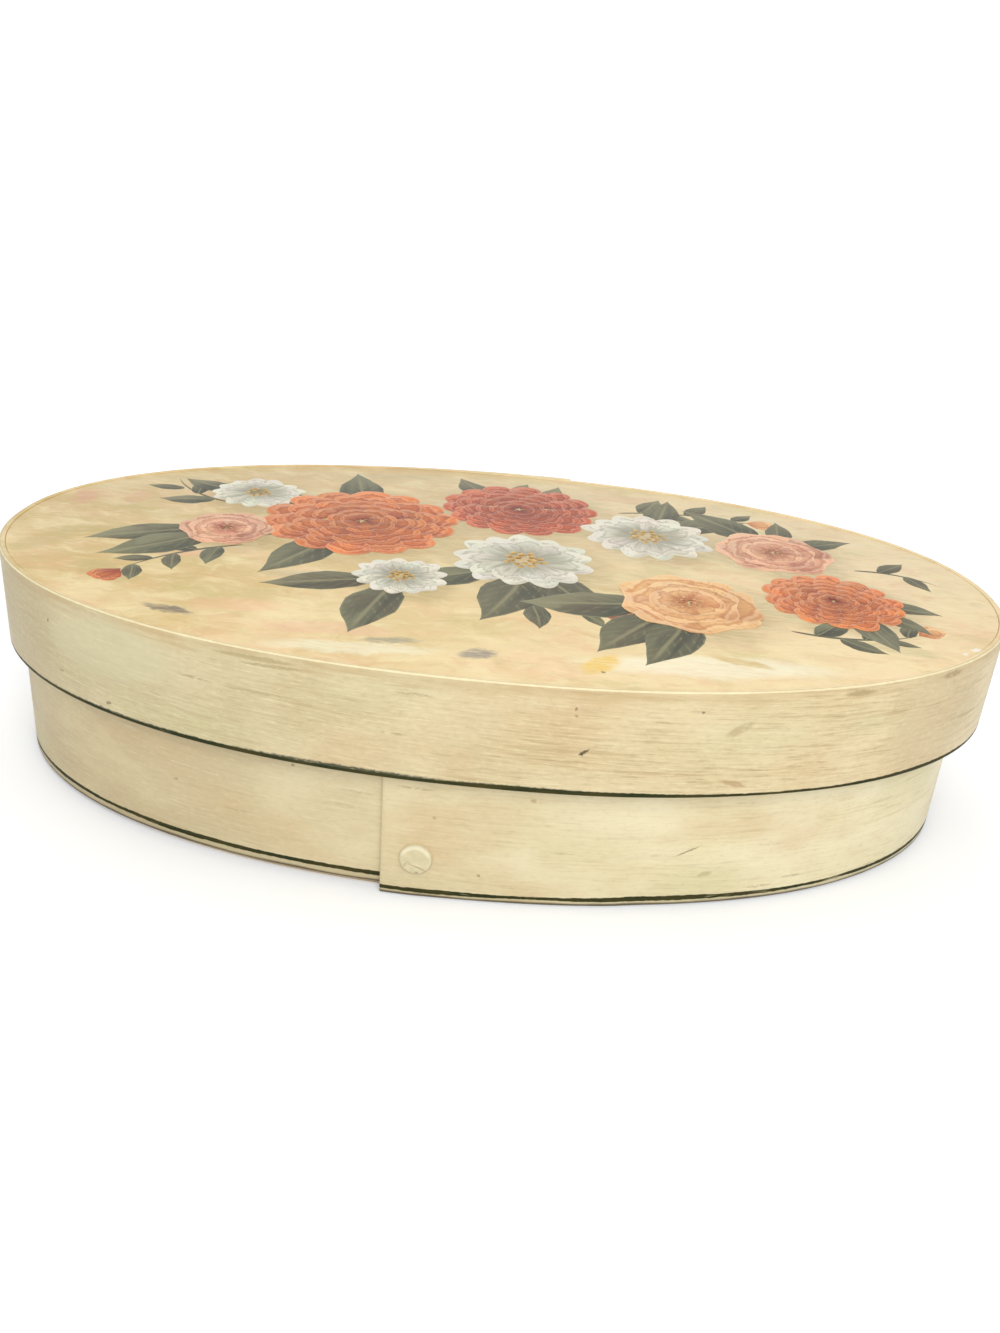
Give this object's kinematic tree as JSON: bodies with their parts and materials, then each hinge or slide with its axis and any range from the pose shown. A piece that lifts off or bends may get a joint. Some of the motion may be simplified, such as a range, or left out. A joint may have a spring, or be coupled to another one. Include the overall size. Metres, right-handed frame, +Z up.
{
  "type": "oval bentwood box",
  "caption": "Oval bentwood box with a deep lift-off lid, lapped strips held by turned buttons, cream paint and a painted garland on the lid.",
  "frame": {"origin": "middle of the base board's underside, on the surface that the box stands on", "axes": "+X along the box's length to its right end, +Y to the back, away from the body's lap, +Z up to the lid"},
  "size_m": [0.4, 0.238, 0.09],
  "materials": {
    "cream_paint": "satin hand-painted cream over wood",
    "lid_paint": "glossy varnish over paint",
    "bare_wood": "plain pale wood, sanded"
  },
  "bodies": {
    "body": {"base_board": "bare_wood", "body_band": "cream_paint", "body_lap_button_lower": "cream_paint", "body_lap_button_upper": "cream_paint"},
    "lid": {"lid_board": "lid_paint", "lid_band": "cream_paint", "lid_lap_button": "cream_paint"}
  },
  "joints": [
    {"name": "lid_lift", "type": "slide", "parent": "body", "child": "lid", "axis": [0, 0, 1], "range_m": [0, 0.1]}
  ]
}
